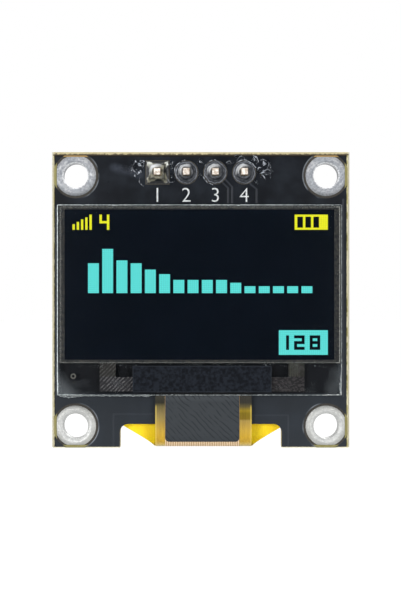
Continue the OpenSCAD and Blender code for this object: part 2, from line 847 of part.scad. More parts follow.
// A resistor also carries its printed track under a glaze on top
module resistor(spot) {
    color("#2a2a2c") on_back(spot) {
        chip_part(resistor_t);
        slab(land_t + resistor_t - 2 * end_proud, end_proud)
            square([part_l - 2 * end_l, part_w - 2 * part_r], center = true);
    }
}

// Formed lead from a body's side down to its foot, drawn from the body outwards
module lead_section(body_t) {
    knee = land_t + body_t / 2;
    leg = lead_reach - lead_foot;
    edges(-lead_t, leg - lead_bend, knee - lead_t, knee);
    edges(leg - lead_t, leg, land_t + lead_bend, knee - lead_bend);
    edges(leg - lead_t + lead_bend, lead_reach, land_t, land_t + lead_t);
    intersection() {
        translate([leg - lead_bend, knee - lead_bend]) arc_band(lead_bend);
        translate([leg - lead_bend, knee - lead_bend]) square(lead_bend);
    }
    intersection() {
        translate([leg - lead_t + lead_bend, land_t + lead_bend]) arc_band(lead_bend);
        translate([leg - lead_t, land_t]) square(lead_bend);
    }
}

module arc_band(outer) {
    difference() {
        circle(outer);
        circle(outer - lead_t);
    }
}

module formed_lead(body_t) {
    rotate([90, 0, 90]) translate([0, 0, -lead_w / 2]) linear_extrude(lead_w)
        lead_section(body_t);
}

// Moulded body that narrows to its top and bottom from a parting line at mid height
module moulded_body(l, w, t) {
    lean = tan(draft) * t / 2;
    mid = land_t + t / 2;
    top = land_t + t;
    intersection() {
        rotate([90, 0, 0]) translate([0, 0, -w / 2]) linear_extrude(w)
            polygon([[-l / 2, mid], [lean - l / 2, top], [l / 2 - lean, top], [l / 2, mid],
                [l / 2 - lean, body_stand], [lean - l / 2, body_stand]]);
        rotate([90, 0, 90]) translate([0, 0, -l / 2]) linear_extrude(l)
            polygon([[-w / 2, mid], [lean - w / 2, top], [w / 2 - lean, top], [w / 2, mid],
                [w / 2 - lean, body_stand], [lean - w / 2, body_stand]]);
    }
}

module regulator() {
    color("#26272a") on_back(regulator_spot) {
        moulded_body(regulator_l, regulator_w, regulator_t);
        regulator_feet() formed_lead(regulator_t);
    }
}

module diode() {
    color("#26272a") on_back(diode_spot) {
        moulded_body(diode_l, diode_w, diode_t);
        diode_feet() formed_lead(diode_t);
    }
}

// ---- The whole module ----

upright() {
    circuit_board();
    front_solder_mask();
    back_solder_mask();
    for (i = [1:len(hole_spots)])
        mounting_hole_plating(hole_spots[i - 1]);
    header_hole_plating();
    header_housing();
    for (i = [1:pin_count])
        header_pin(pins_x[i - 1]);
    for (i = [1:pin_count])
        solder_joint(pins_x[i - 1], i == 1);
    translate([panel_shift, 0, 0]) {
        panel_tape();
        rear_glass();
        drying_sheet();
        sealing_bead();
        electrode_film();
        blue_cells();
        yellow_cells();
        contact_metal();
        front_glass();
        polarizer();
        driver_chip();
        light_shield();
    }
    flex_circuit();
    flex_cover();
    flex_lands();
    flex_solder();
    part_lands();
    part_solder();
    regulator();
    diode();
    for (i = [1:len(capacitor_spots)])
        capacitor(capacitor_spots[i - 1]);
    for (i = [1:len(resistor_spots)])
        resistor(resistor_spots[i - 1]);
}
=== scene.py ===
import math
from functools import reduce

import bmesh
import bpy
from mathutils import Matrix, Vector, noise


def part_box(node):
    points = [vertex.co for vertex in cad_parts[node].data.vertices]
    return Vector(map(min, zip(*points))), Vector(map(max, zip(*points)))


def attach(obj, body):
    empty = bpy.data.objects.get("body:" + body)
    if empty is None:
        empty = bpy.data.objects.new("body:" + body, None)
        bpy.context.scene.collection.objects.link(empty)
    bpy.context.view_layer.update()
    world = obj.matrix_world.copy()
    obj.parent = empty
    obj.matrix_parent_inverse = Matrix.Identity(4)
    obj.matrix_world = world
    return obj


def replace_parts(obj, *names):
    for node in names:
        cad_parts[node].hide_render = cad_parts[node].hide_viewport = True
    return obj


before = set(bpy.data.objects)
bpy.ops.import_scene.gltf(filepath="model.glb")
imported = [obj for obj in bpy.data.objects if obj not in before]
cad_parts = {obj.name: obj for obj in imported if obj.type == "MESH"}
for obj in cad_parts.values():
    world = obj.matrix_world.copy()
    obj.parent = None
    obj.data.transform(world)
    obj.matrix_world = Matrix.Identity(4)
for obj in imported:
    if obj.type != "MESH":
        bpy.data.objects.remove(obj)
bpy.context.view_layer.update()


# ---- Board core ----
# The core is woven glass cloth in epoxy resin. It was scored and snapped out of a larger sheet
# at its sides and top and routed at the bottom, so straw-coloured laminate is bare at the rim.

per_metre = 1000  # shapes and finishes are worked out in millimetres


def paint(code):
    """A colour written as on a paint card, in the linear numbers that a shader takes."""
    parts = [int(code[i:i + 2], 16) / 255 for i in (1, 3, 5)]
    return tuple(p / 12.92 if p <= 0.04045 else ((p + 0.055) / 1.055) ** 2.4 for p in parts) + (1,)


class Field:
    """A value or a colour that varies over a finish: one socket of its nodes."""

    def __init__(self, finish, socket):
        self.finish, self.socket = finish, socket

    def maths(self, operation, *terms):
        return self.finish.add("ShaderNodeMath", {"operation": operation}, *terms)

    def __add__(self, other):
        return self.maths("ADD", self, other)

    def __radd__(self, other):
        return self.maths("ADD", other, self)

    def __sub__(self, other):
        return self.maths("SUBTRACT", self, other)

    def __rsub__(self, other):
        return self.maths("SUBTRACT", other, self)

    def __mul__(self, other):
        return self.maths("MULTIPLY", self, other)

    def __rmul__(self, other):
        return self.maths("MULTIPLY", other, self)

    def __truediv__(self, other):
        return self.maths("DIVIDE", self, other)

    def __rtruediv__(self, other):
        return self.maths("DIVIDE", other, self)

    def __abs__(self):
        return self.maths("ABSOLUTE", self)

    def smallest(self, other):
        return self.maths("MINIMUM", self, other)

    def largest(self, other):
        return self.maths("MAXIMUM", self, other)

    def sine(self):
        return self.maths("SINE", self)

    def step(self, low, high):
        """Rises smoothly from 0 at low to 1 at high."""
        return self.finish.add("ShaderNodeMapRange", {"interpolation_type": "SMOOTHSTEP"},
                               self, low, high, 0, 1)

    def band(self, low, high, soft):
        """1 from low to high, with edges of a given softness."""
        return self.step(low - soft, low) * (1 - self.step(high, high + soft))

    def wave(self, pitch):
        """Rises and falls between 0 and 1, once in each pitch."""
        return (self * (math.tau / pitch)).sine() * 0.5 + 0.5


class Finish:
    """A procedural material. Lengths in it are millimetres in the object's own coordinates."""

    def __init__(self, name):
        self.material = bpy.data.materials.new(name)
        self.material.use_nodes = True
        self.tree = self.material.node_tree
        self.shader = self.tree.nodes["Principled BSDF"]
        self.place = self.add("ShaderNodeVectorMath", {"operation": "SCALE"},
                              self.add("ShaderNodeTexCoord", {}, out="Object"), Scale=per_metre)
        self.x, self.y, self.z = (self.add("ShaderNodeSeparateXYZ", {}, self.place, out=axis)
                                  for axis in "XYZ")

    def feed(self, socket, value):
        if isinstance(value, Field):
            self.tree.links.new(value.socket, socket)
        else:
            socket.default_value = value

    def add(self, kind, settings, *inputs, out=0, **named):
        """Adds a node: its settings first, then its sockets in order, then those by name."""
        node = self.tree.nodes.new(kind)
        for key, value in settings.items():
            if key == "stops":
                self.set_stops(node.color_ramp.elements, value)
            else:
                setattr(node, key, value)
        for key, value in [*enumerate(inputs), *named.items()]:
            if value is not None:
                self.feed(node.inputs[key], value)
        return Field(self, node.outputs[out])

    def set_stops(self, elements, stops):
        for _ in stops[2:]:
            elements.new(0.5)
        for element, (spot, colour) in zip(elements, stops):
            element.position, element.color = spot, paint(colour)

    def ramp(self, height, *stops):
        """A colour that changes through stops, each a height and a colour, lowest first."""
        low, high = stops[0][0], stops[-1][0]
        share = (height - low) * (1 / (high - low))
        return self.add("ShaderNodeValToRGB", {
            "stops": [((spot - low) / (high - low), colour) for spot, colour in stops]}, share)

    def mix(self, share, first, second):
        """first where share is 0, second where it is 1."""
        return self.add("ShaderNodeMix", {"data_type": "RGBA"}, share, *[None] * 5, first, second,
                        out=2)

    def grain(self, per_mm, detail=2, stretch=(1, 1, 1), shift=0):
        """Cloudy noise with that many lumps to a millimetre, stretched along an axis below 1."""
        place = self.add("ShaderNodeVectorMath", {"operation": "MULTIPLY_ADD"}, self.place,
                         stretch, (shift, shift, shift))
        return self.add("ShaderNodeTexNoise", {}, place, Scale=per_mm, Detail=detail)

    def surface(self, **sockets):
        """Sets the shader's sockets, named with _ for a space."""
        for key, value in sockets.items():
            self.feed(self.shader.inputs[key.replace("_", " ")], value)

    def emboss(self, height, depth):
        """Raises the surface by height, from 0 to 1, of depth millimetres."""
        self.surface(Normal=self.add("ShaderNodeBump", {}, Strength=1,
                                     Distance=depth / per_metre, Height=height))

    def dress(self, *names):
        """Gives the finish to CAD nodes."""
        for name in names:
            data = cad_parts[name].data
            if not data.materials:
                data.materials.append(None)
            for i in range(len(data.materials)):
                data.materials[i] = self.material


def measure(name):
    """A CAD node's lowest and highest corners, in millimetres."""
    return [corner * per_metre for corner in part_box(name)]


board_low, board_high = measure("circuit_board")
pins = [sum(measure(f"header_pin_{i}"), Vector()) / 2 for i in range(1, 5)]
ring_r = 1.8  # the rings are cut flat on their outer sides only
hole_spots = [(low.x + ring_r if low.x > 0 else high.x - ring_r,
               low.z + ring_r if low.z > 0 else high.z - ring_r)
              for low, high in (measure(f"mounting_hole_plating_{i}") for i in range(1, 5))]
opening_r = 2.02  # the solder mask stops this far from the middle of a hole


def from_hole(finish):
    """Distance in millimetres from the middle of the nearest mounting hole."""
    return reduce(Field.smallest, [
        finish.add("ShaderNodeVectorMath", {"operation": "DISTANCE"}, finish.place, (x, 0, z),
                   out="Value") for x, z in hole_spots])


laminate = Finish("woven_laminate")
warp = laminate.grain(9, stretch=(0.12, 1, 1))
weft = laminate.grain(9, stretch=(1, 1, 0.12), shift=40)
cloth = (warp * 0.5 + weft * 0.5).step(0.38, 0.62)
straw = laminate.mix(cloth, paint("#b5a877"), paint("#d3c79d"))
split = abs(laminate.x).step(board_high.x - 0.24, board_high.x - 0.08)
straw = laminate.mix(split * 0.75, straw, paint("#e0ddcb"))
routed = 1 - laminate.z.step(board_low.z + 0.05, board_low.z + 0.1)
straw = laminate.mix(routed * 0.6, straw, paint("#f0ecd4"))
# Round the header's pads, the bare laminate in the mask's openings is painted nearly black: painted shade in
# the narrow gaps.
off_header = abs(laminate.x).step(5, 5.2).largest(abs(laminate.z - pins[0].z).step(1.15, 1.25))
straw = laminate.mix((1 - off_header) * 0.95, straw, paint("#1b1b1b"))
in_opening = 1 - from_hole(laminate).step(opening_r, opening_r + 0.1)
sides = abs(laminate.x).step(board_high.x - 0.5, board_high.x - 0.4)
above = laminate.z.step(board_high.z - 0.5, board_high.z - 0.4)
below = 1 - laminate.z.step(board_low.z + 0.2, board_low.z + 0.3)
# In the mask's opening round each mounting hole, the laminate shows olive towards the board's edges and gold
# at the top. On the side towards the board's middle it is painted dark: painted shade in the gap.
opening_laminate_and_shade = laminate.mix(sides.largest(above).largest(below), paint("#23221f"),
                       laminate.mix(above, paint("#8b8550"), paint("#b58f4c")))
outside = (abs(laminate.x).step(board_high.x - 0.26, board_high.x - 0.18)
           .largest(laminate.z.step(board_high.z - 0.34, board_high.z - 0.26)))
straw = laminate.mix(in_opening * (1 - outside), straw, opening_laminate_and_shade)
beyond_mask = (abs(laminate.x) - (board_high.x - 0.2)).largest(laminate.z - (board_high.z - 0.32))
fray = 1 - (beyond_mask - laminate.grain(3.1, 4, shift=9) * 0.36).step(-0.1, -0.02)
at_top = laminate.z.step(board_high.z - 0.4, board_high.z - 0.32)
straw = laminate.mix(fray * (at_top * 0.75 + 0.2), straw, paint("#3b3020"))
plies = laminate.y.wave(math.tau / 26)
laminate.surface(Base_Color=straw, Roughness=0.62 + cloth * 0.2)
laminate.emboss(plies * 0.4 + laminate.grain(14, 3) * 0.6, 0.03)
laminate.dress("circuit_board")


# ---- Solder mask ----
# A black liquid coating, cured with light over both faces of the board. Copper tracks show as low
# ridges under it, in front and behind, and it has torn and peeled where the board was snapped.

mask = Finish("black_solder_mask")


def run(finish, start, end):
    """Distance in millimetres from a straight line between two points on the board's face."""
    flat = finish.add("ShaderNodeVectorMath", {"operation": "MULTIPLY_ADD"}, finish.place,
                      (1, 0, 1), (-start[0], 0, -start[1]))
    along = Vector((end[0] - start[0], 0, end[1] - start[1]))
    share = finish.add("ShaderNodeVectorMath", {"operation": "DOT_PRODUCT"}, flat,
                       tuple(along / along.length_squared), out="Value")
    share = share.smallest(1).largest(0)
    foot = finish.add("ShaderNodeVectorMath", {"operation": "SCALE"}, tuple(along), Scale=share)
    return finish.add("ShaderNodeVectorMath", {"operation": "DISTANCE"}, flat, foot, out="Value")


front_tracks = [  # each a route over the board's face, to the right and up from its middle
    [(3.81, 11.2), (4.4, 10.2), (4.9, 9.8), (4.9, 8.6)],
    [(1.5, 10.8), (2.4, 9.9), (2.4, 8.6)],
    [(1.9, 10.95), (2.75, 10.0), (2.75, 8.6)],
    [(12.5, 8.9), (12.5, -8.4)],
    [(-4.2, -9.95), (-7.65, -9.95), (-7.65, -12.8)],
    [(4.4, -10.05), (7.65, -10.05), (7.65, -12.8)],
]
back_tracks = []
chip_numbers = range(1, 8)  # as many capacitors as resistors
for name in [f"{kind}_{i}" for kind in ("capacitor", "resistor") for i in chip_numbers]:
    low, high = measure(name)
    spot = (low.x + high.x) / 2
    if high.z < 0:
        back_tracks += [[(spot, low.z - 0.2), (spot * 1.1, -7.4)],
                        [(spot, high.z + 0.2), (spot, high.z + 0.9), (spot * 0.8, high.z + 1.6)]]
for pin in pins:
    back_tracks.append([(pin.x, 10.2), (pin.x, 8.6), (pin.x * 1.5, 7.2), (pin.x * 1.5, 6.0)])
ridges = 0
at_front = 1 - mask.y.step(0.5, 0.6)
buried = at_front * (0.4 + mask.z.step(-9.5, -8.5) * 0.6)
for tracks, shown in [(front_tracks, buried), (back_tracks, 1 - at_front)]:
    for track in tracks:
        for start, end in zip(track, track[1:]):
            ridge = 1 - run(mask, start, end).step(0.03, 0.11)
            ridges = (ridge * shown).largest(ridges)
glass_low, glass_high = measure("front_glass")
# Painted shading: the mask is lighter low on the board and darker high up, as light falls on it.
black = mask.mix(mask.z.step(-13, 13), paint("#2b2f34"), paint("#0f1217"))
black = mask.mix(mask.grain(0.35, 3).step(0.35, 0.7) * 0.3, black, paint("#333941"))
black = mask.mix(ridges * 0.3, black, paint("#4c5058"))
# A painted highlight: a lighter arc on the mask's edge, on the side of each hole's opening towards the
# board's middle.
inner_side = (abs(hole_spots[0][0]) - abs(mask.x)).step(0, 1.4)
lit_collar = from_hole(mask).band(opening_r - 0.02, opening_r + 0.05, 0.04) * inner_side
black = mask.mix(lit_collar * mask.grain(0.9, 2, shift=14).step(0.3, 0.7) * 0.6, black,
                 paint("#8d939b"))
smear = 1 - run(mask, (-7.6, 11.7), (-5.4, 11.1)).step(0.0, 0.6)
smear = smear * mask.grain(2.5, 3, shift=11)
black = mask.mix(smear * at_front * 0.4, black, paint("#5b6270"))
panel_shade = (mask.x.band(glass_low.x + 0.2, glass_high.x - 0.2, 0.15)
               * mask.z.band(glass_low.z + 0.15, glass_high.z - 0.2, 0.15) * at_front)
black = mask.mix(panel_shade * 0.8, black, paint("#0b0d11"))
beside_panel = 1 - mask.x.step(glass_low.x - 0.1, glass_low.x - 0.02)
beside_panel = beside_panel * mask.z.band(glass_low.z + 0.23, glass_high.z - 0.37, 0.5) * at_front
black = mask.mix(beside_panel * 0.6, black, paint("#454a50"))
mask_low, mask_high = measure("front_solder_mask")
rim = (mask_high.x - abs(mask.x)).smallest(mask_high.z - mask.z)
torn = 1 - (rim - mask.grain(3.2, 4) * 0.3).step(-0.06, 0.02)
black = mask.mix(torn * 0.85, black, paint("#1b1814"))
peel = mask.grain(2.4, 4, shift=27) * 0.08 + mask.x.step(-1, 1) * 0.05
peeled = 1 - (mask_high.x - abs(mask.x) - peel).step(-0.02, 0.02)
shards = mask.grain(1.3, 3, shift=5).step(0.42, 0.6)
black = mask.mix(peeled * at_front, black, mask.mix(shards, paint("#cfc9a8"), paint("#98905c")))
mask.surface(Base_Color=black, Roughness=0.25 + mask.grain(3, 3) * 0.08 + torn * 0.4,
             Specular_IOR_Level=0.07)
mask.emboss(ridges * 0.8 + mask.grain(2.2, 2) * 0.2, 0.02)
mask.dress("front_solder_mask", "back_solder_mask")


# ---- Tinned copper ----
# Rings, pads and lands are copper foil dipped in solder and blown level with hot air, which
# leaves them bright, slightly domed and sandy.

tin = Finish("tinned_copper")
sand = tin.grain(7, 4).step(0.42, 0.6)
patches = tin.grain(1.1, 2, shift=3).step(0.35, 0.65)
bright = tin.mix(patches, paint("#9ea0a3"), paint("#868a8f"))
whiter = tin.mix(patches, paint("#b9bab8"), paint("#adaeac"))
# Painted shade and light: the tin is greyer high on the board and whiter low down.
high_up = tin.z.step(-4, 4)
bright = tin.mix(high_up, whiter, bright)
away = from_hole(tin)
# A painted highlight on the inner lip of each ring, mostly high on the board.
inner_lip = 1 - away.step(1.12, 1.24)
bright = tin.mix(inner_lip * high_up * 0.8, bright, paint("#e2e4e6"))
# Painted shade on the outer slope of each ring, most of all low on the board.
outer_lip = away.band(1.5, 1.85, 0.12)
bright = tin.mix(outer_lip * (1 - high_up * 0.7) * 0.35, bright, paint("#8a8a84"))
# The dark sandy specks are the tin's own grain. They show more high up, as part of the painted shading.
tin.surface(Base_Color=tin.mix(sand * (0.12 + high_up * 0.5), bright, paint("#71737b")),
            Metallic=0.5, Roughness=0.36 + sand * 0.2)
tin.emboss(tin.grain(10, 3), 0.03)
tin.dress("header_hole_plating", "flex_lands", "part_lands",
          *(f"mounting_hole_plating_{i}" for i in range(1, 5)))


# ---- Printed numerals ----
# White epoxy ink, screened through a mesh onto the mask beside the header and baked hard. It
# gives the pins the plain numbers 1 to 4.

def numeral(text, x, z, height, y, thickness):
    """A piece of plain text, centred at a point, standing on the board's face."""
    curve = bpy.data.curves.new("numeral", "FONT")
    curve.body, curve.size = text, 1
    curve.extrude, curve.offset = 0.5, -0.012
    letter = bpy.data.objects.new("numeral", curve)
    bpy.context.scene.collection.objects.link(letter)
    bpy.context.view_layer.update()
    data = bpy.data.meshes.new_from_object(letter)
    bpy.data.objects.remove(letter)
    shape = bmesh.new()
    shape.from_mesh(data)
    bpy.data.meshes.remove(data)
    spots = [v.co for v in shape.verts]
    low = Vector([min(s[i] for s in spots) for i in range(3)])
    high = Vector([max(s[i] for s in spots) for i in range(3)])
    size = height / (high.y - low.y)
    bmesh.ops.translate(shape, verts=shape.verts, vec=-(low + high) / 2)
    bmesh.ops.scale(shape, verts=shape.verts, vec=(size, size, thickness))
    bmesh.ops.rotate(shape, verts=shape.verts, matrix=Matrix.Rotation(math.pi / 2, 3, "X"))
    bmesh.ops.translate(shape, verts=shape.verts, vec=(x, y, z))
    return shape


def gather(shapes):
    """Joins several shapes into one."""
    whole = bmesh.new()
    for shape in shapes:
        part = bpy.data.meshes.new("part")
        shape.to_mesh(part)
        shape.free()
        whole.from_mesh(part)
        bpy.data.meshes.remove(part)
    return whole


def place(shape, name, slot, *finishes):
    """Makes a shape drawn in millimetres a piece of the module."""
    bmesh.ops.remove_doubles(shape, verts=shape.verts, dist=1e-5)
    bmesh.ops.recalc_face_normals(shape, faces=shape.faces)
    bmesh.ops.scale(shape, verts=shape.verts, vec=[1 / per_metre] * 3)
    data = bpy.data.meshes.new(name)
    shape.to_mesh(data)
    shape.free()
    for finish in finishes:
        data.materials.append(finish.material)
    piece = bpy.data.objects.new(name, data)
    bpy.context.scene.collection.objects.link(piece)
    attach(piece, "root")
    return piece


ink = Finish("white_ink")
mesh_marks = ink.grain(7, 2).step(0.3, 0.7)
ink.surface(Base_Color=ink.mix(mesh_marks, paint("#b4b8bb"), paint("#d9dcdd")), Roughness=0.55)
ink.emboss(mesh_marks, 0.01)
face_y = mask_low.y
place(gather([numeral(str(i), pin.x, z=9.3, height=1.22, y=face_y - 0.004, thickness=0.012)
              for i, pin in enumerate(pins, 1)]), "pin_numerals", "solder_mask", ink)


# ---- Header ----
# Four square pins in a strip of black nylon behind the board. The pins are brass, flashed with
# gold, and were cut short in front after soldering, which bares their paler core.

nylon = Finish("black_nylon")
clouded = nylon.grain(2).step(0.3, 0.7)
nylon.surface(Base_Color=nylon.mix(clouded, paint("#141518"), paint("#202226")),
              Roughness=0.42 + nylon.grain(12) * 0.2)
nylon.emboss(nylon.grain(16, 3), 0.012)
nylon.dress("header_housing")

gold = Finish("gold_flash")
pin_tip = measure("header_pin_1")[0].y
cut_end = 1 - gold.y.step(pin_tip + 0.05, pin_tip + 0.1)
bared = 1 - gold.y.step(pin_tip + 0.004, pin_tip + 0.012)
drawn = gold.grain(6, 3, stretch=(1, 0.06, 1))
torn_end = gold.grain(3.5, 3, shift=23).step(0.4, 0.62)
brass = gold.mix(cut_end, gold.mix(drawn, paint("#c9a75a"), paint("#e3c684")), paint("#4c4034"))
core = gold.mix(torn_end, paint("#b5a698"), paint("#ece5dc"))
gold.surface(Base_Color=gold.mix(bared, brass, core),
             Metallic=0.9 - cut_end * 0.8, Roughness=0.22 + drawn * 0.2 + cut_end * 0.2)
gold.emboss(drawn * (1 - cut_end) * 0.2 + torn_end * cut_end, 0.04)
gold.dress(*(f"header_pin_{i}" for i in range(1, 5)))


# ---- Solder joints ----
# Tin alloy that wetted the pad and climbed the pin in a bright hollow cone. It froze in faint
# rings, and the flux pushed out of it dulls it in spots.

solder = Finish("bright_solder")
dull = solder.grain(3.2, 3).step(0.42, 0.68)
solder.surface(Base_Color=solder.mix(dull, paint("#b9bcbf"), paint("#87898b")), Metallic=0.95,
               Roughness=0.16 + dull * 0.22)
solder.emboss(solder.grain(4, 3), 0.05)
solder.dress("flex_solder", "part_solder")

# Each joint's colour is painted light: dark where it mirrors the dark room and darker still towards its
# foot, with a painted highlight on its crest at the upper left.
for i, pin in enumerate(pins, 1):
    joint = Finish("fluxed_solder_painted_light")
    across, up = joint.x - pin.x, joint.z - pin.z
    away = joint.add("ShaderNodeVectorMath", {"operation": "LENGTH"}, joint.add(
        "ShaderNodeCombineXYZ", {}, across, 0, up), out="Value")
    ripple = joint.grain(1.6, 3, shift=6 + i)
    lit_side = ((up * 0.8 - across * 0.6) + ripple * 0.5 - 0.25).step(0.05, 0.6)
    away = away + joint.grain(2.4, 3, shift=50 + i) * 0.3 - 0.15
    lit_crest = away.band(0.52, 0.68, 0.12) * lit_side
    skin = joint.mix(joint.grain(2.6, 4, shift=6).step(0.36, 0.64), paint("#2b2e34"),
                     paint("#54575c"))
    skin = joint.mix(away.step(0.74, 0.84), skin, paint("#24262b"))
    skin = joint.mix(away.band(0.9, 0.93, 0.03) * joint.grain(1.4, 2, shift=i), skin,
                     paint("#7d838d"))
    if i == 1:  # the first pad is square, and its solder is duller and drawn out to the corners
        # Painted glints at its corners, and dark beyond its ragged outline.
        outward = abs(across).largest(abs(up)) - abs(across).smallest(abs(up)) * 0.35
        painted_glints = joint.grain(1.7, 3, shift=31).step(0.5, 0.62) * away.step(0.6, 0.9)
        ragged = (outward + joint.grain(2.6, 4) * 0.6).step(0.88, 0.98)
        skin = joint.mix(joint.grain(2.4, 4).step(0.35, 0.6), paint("#3d3d38"), paint("#7a786a"))
        skin = joint.mix(painted_glints, skin, paint("#c0c2bc"))
        skin = joint.mix(ragged, skin, paint("#191b1e"))
    joint.surface(Base_Color=joint.mix(lit_crest, skin, paint("#c6c9cd")), Metallic=0.2,
                  Roughness=0.2 + ripple * 0.2, Specular_IOR_Level=0.3)
    joint.emboss(joint.grain(3, 3) * 0.7 + ripple * 0.3, 0.07)
    joint.dress(f"solder_joint_{i}")


# ---- Flux ----
# The clear rosin that ran out of the solder and was never washed off. It set round the joints in
# thin glassy puddles and drawn-out hairs, and cracked as it cooled.

def puddle(x, z, width, height, rise, turn, seed):
    """A low, uneven drop of set rosin, half sunk in the board's face and turned by degrees."""
    drop = bmesh.new()
    bmesh.ops.create_icosphere(drop, subdivisions=4, radius=0.5)
    bmesh.ops.scale(drop, verts=drop.verts, vec=(width, rise * 2, height))
    for v in drop.verts:
        swell = noise.noise(Vector((v.co.x * 2 + seed, seed * 3, v.co.z * 2)))
        crease = noise.noise(Vector((v.co.x * 6, seed * 5, v.co.z * 6)))
        v.co.x *= 1 + 0.6 * swell
        v.co.z *= 1 + 0.6 * swell
        v.co.y *= 1 + 0.9 * crease
    bmesh.ops.rotate(drop, verts=drop.verts,
                     matrix=Matrix.Rotation(math.radians(-turn), 3, "Y"))
    bmesh.ops.translate(drop, verts=drop.verts, vec=(x, face_y + 0.01, z))
    return drop


def thread(x, z, radius, start, sweep):
    """A hair of rosin drawn out round a joint: an arc of so many degrees about a centre."""
    hair = bmesh.new()
    bmesh.ops.create_circle(hair, cap_ends=True, segments=6, radius=0.032,
                            matrix=Matrix.Translation((radius, 0, 0)))
    bmesh.ops.rotate(hair, verts=hair.verts,
                     matrix=Matrix.Rotation(math.radians(-start), 3, "Y"))
    bmesh.ops.spin(hair, geom=hair.verts[:] + hair.edges[:] + hair.faces[:], steps=14,
                   axis=(0, 1, 0), angle=math.radians(-sweep))
    for v in hair.verts:
        wander = Vector((v.co.x + x, 0, v.co.z + z)) * 2.6
        v.co += noise.noise_vector(wander) * 0.11
        v.co.y *= 0.3
    for f in hair.faces:
        f.material_index = 1
    bmesh.ops.translate(hair, verts=hair.verts, vec=(x, face_y - 0.015, z))
    return hair


def clear(finish, solid, polish):
    """Lets light through where solid is 0, and keeps the gloss of a polished face there."""
    gloss = finish.add("ShaderNodeFresnel", {}, 1.5) * polish
    seen = finish.add("ShaderNodeBsdfTransparent", {})
    shade = finish.add("ShaderNodeMixShader", {}, gloss.largest(solid), seen,
                       Field(finish, finish.shader.outputs[0]))
    finish.tree.links.new(shade.socket, finish.tree.nodes["Material Output"].inputs["Surface"])


rosin = Finish("set_rosin")
cracks = rosin.add("ShaderNodeTexVoronoi", {"feature": "DISTANCE_TO_EDGE"}, rosin.place, Scale=1.7,
                   out="Distance")
cracks = 1 - cracks.step(0.0, 0.06)
lumps = rosin.grain(3.0, 4, shift=17).step(0.5, 0.6)
# Where the puddles stand highest, their lumps are painted pale and nearly solid: painted highlights on the
# clear rosin.
lit_crest = 1 - rosin.y.step(face_y - 0.07, face_y - 0.03)
rosin.surface(Base_Color=rosin.mix(lumps, paint("#3c424d"), paint("#b4bbc5")), Roughness=0.08,
              Metallic=0.4)
rosin.emboss(rosin.grain(2.6, 4) * 0.8 + cracks * 0.2, 0.16)
clear(rosin, (cracks * 0.3).largest(lumps * lit_crest * 0.85), 1)
hairs = Finish("drawn_rosin")
# The hairs are painted pale grey and partly solid: painted highlights along the clear rosin.
strand = hairs.grain(2.4, 3, shift=8).step(0.38, 0.6)
hairs.surface(Base_Color=hairs.mix(strand, paint("#3f444d"), paint("#a9afb8")), Roughness=0.3,
              Specular_IOR_Level=0.2)
clear(hairs, 0.25 + strand * 0.6, 1)
drops = [  # place to the right and up, width, height, rise above the board and turn
    (-5.8, 11.95, 0.45, 0.8, 0.14, 10), (-5.2, 12.1, 0.65, 0.6, 0.16, 0),
    (-5.5, 11.2, 0.3, 1.2, 0.08, -50), (-6.3, 11.6, 1.5, 0.7, 0.04, -20),
    (-2.45, 10.85, 0.4, 0.9, 0.05, 20), (-2.55, 11.9, 0.5, 1.0, 0.05, 0),
    (0.05, 10.9, 0.4, 0.6, 0.04, 30), (0.0, 12.2, 0.5, 0.6, 0.06, 0),
    (2.5, 12.1, 0.9, 0.2, 0.05, -10), (3.3, 12.7, 0.6, 0.3, 0.14, 0),
    (4.7, 12.3, 0.4, 0.9, 0.06, -30), (5.65, 12.1, 1.0, 0.45, 0.18, 35),
    (5.45, 11.4, 1.3, 0.4, 0.18, 20), (5.3, 10.95, 0.3, 0.45, 0.14, 10),
    (5.9, 11.5, 1.0, 1.4, 0.05, 0), (4.75, 10.6, 0.25, 0.9, 0.07, 30),
]
arcs = [  # centre to the right and up, radius, start and sweep
    (-5.6, 11.7, 0.42, 70, 190), (-5.3, 11.9, 0.3, -60, 150), (-4.9, 10.6, 0.5, 150, 110),
    (-1.27, 11.27, 1.06, 95, 85), (-2.5, 10.8, 0.35, 200, 170), (1.27, 11.27, 1.08, 60, 90),
    (1.27, 11.27, 1.1, 200, 60), (3.81, 11.27, 1.08, 20, 110), (3.5, 12.4, 0.3, 0, 200),
    (5.5, 11.9, 0.48, -80, 200), (5.3, 11.4, 0.32, 60, 220), (4.9, 10.3, 0.9, 20, 60),
    (4.5, 12.3, 0.5, -40, 120), (2.55, 11.9, 0.4, 30, 120),
]
noise.seed_set(1)  # so that the threads wander the same way each time
place(gather([puddle(*drop, seed) for seed, drop in enumerate(drops, 1)]
             + [thread(*arc) for arc in arcs]), "flux_residue", "solder", rosin, hairs)


# ---- Panel tape ----
# Black foam tape, sticky on both faces. It holds the panel to the board and takes up what either
# of them is out of flat.

foam = Finish("foam_tape")
pores = foam.grain(10, 3)
foam.surface(Base_Color=foam.mix(pores, paint("#14171a"), paint("#262b30")), Roughness=0.85,
             Specular_IOR_Level=0.1)
foam.emboss(pores, 0.05)
foam.dress("panel_tape")


# ---- Glass ----
# Two sheets of float glass, scribed and snapped to size, so their rims are chipped, most of all
# at the lower corners, and the front one's lower rim slants out to the left of the ribbon. The front
# one's rim is painted bright: a painted highlight. The rear one has an etched pocket for a drying
# sheet, and a bead of cement seals the two.

def rim_distance(finish, low, high):
    """Distance in from the nearest edge of a sheet, in millimetres."""
    across = (finish.x - low.x).smallest(high.x - finish.x)
    return (finish.z - low.z).smallest(high.z - finish.z).smallest(across)


